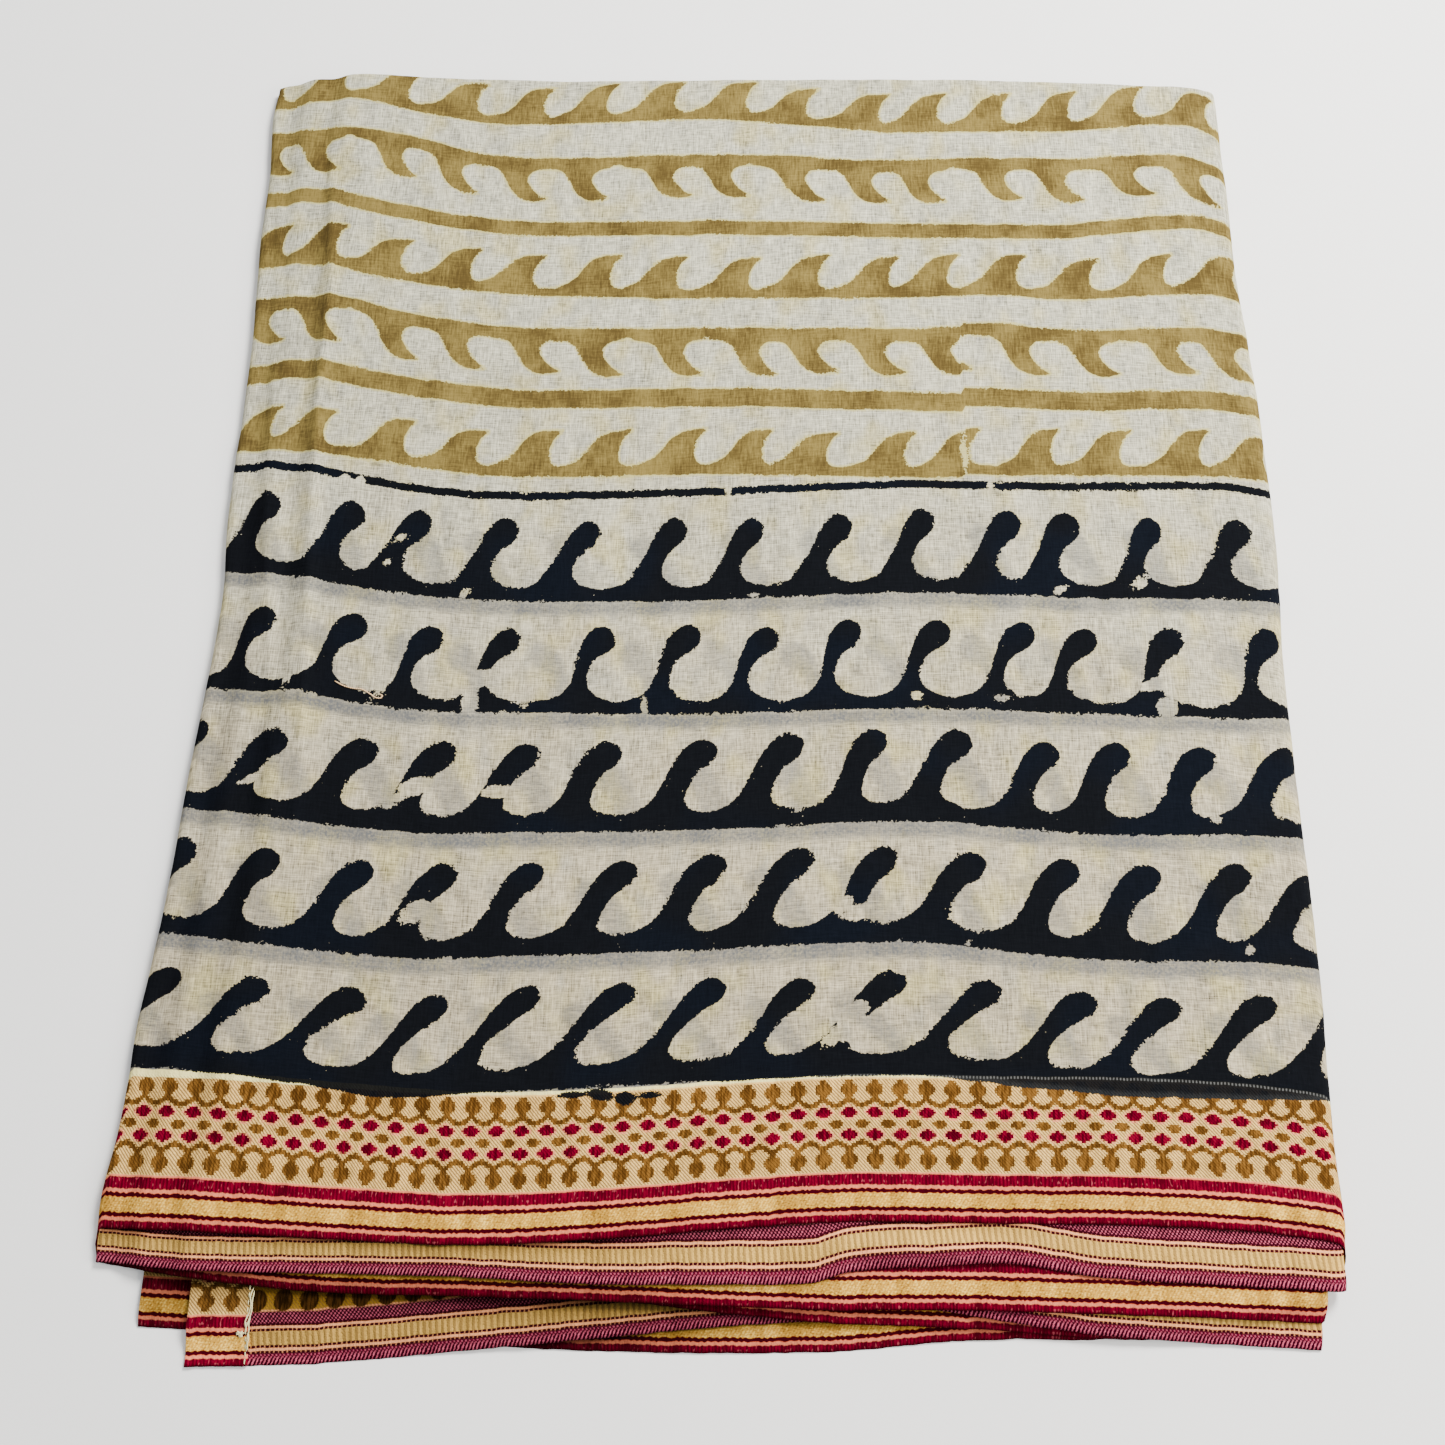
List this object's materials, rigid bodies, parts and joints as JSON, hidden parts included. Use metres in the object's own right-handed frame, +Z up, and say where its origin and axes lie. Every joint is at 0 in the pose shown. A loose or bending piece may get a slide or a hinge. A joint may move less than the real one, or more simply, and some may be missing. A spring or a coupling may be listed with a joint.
{
  "type": "sarong",
  "caption": "Thin block-printed cotton sarong with woven selvedge borders, folded flat into a layered pack that lies on a surface.",
  "frame": {"origin": "centre of the pack's box, on the surface that it lies on", "axes": "+X across the pack along the selvedges, +Y away from the selvedges that show towards the far folds, +Z up through the layers"},
  "size_m": [0.4784, 0.5967, 0.013],
  "materials": {
    "printed_cotton": "thin plain-weave cotton, off-white, with ochre and blue-black block print",
    "border_front": "woven selvedge border, front: crimson and gold stripes and small diamonds on tan",
    "border_reverse": "woven selvedge border, reverse: mauve and tan ribbed stripes"
  },
  "bodies": {
    "root": {"face_panel": "printed_cotton", "border_2_reverse": "border_reverse", "border_3_front": "border_front", "border_4_reverse": "border_reverse", "border_5_front": "border_front", "border_6_reverse": "border_reverse", "border_7_front": "border_front", "border_8_reverse": "border_reverse", "hem_turn": "border_front", "inner_folds": "printed_cotton"}
  },
  "joints": []
}
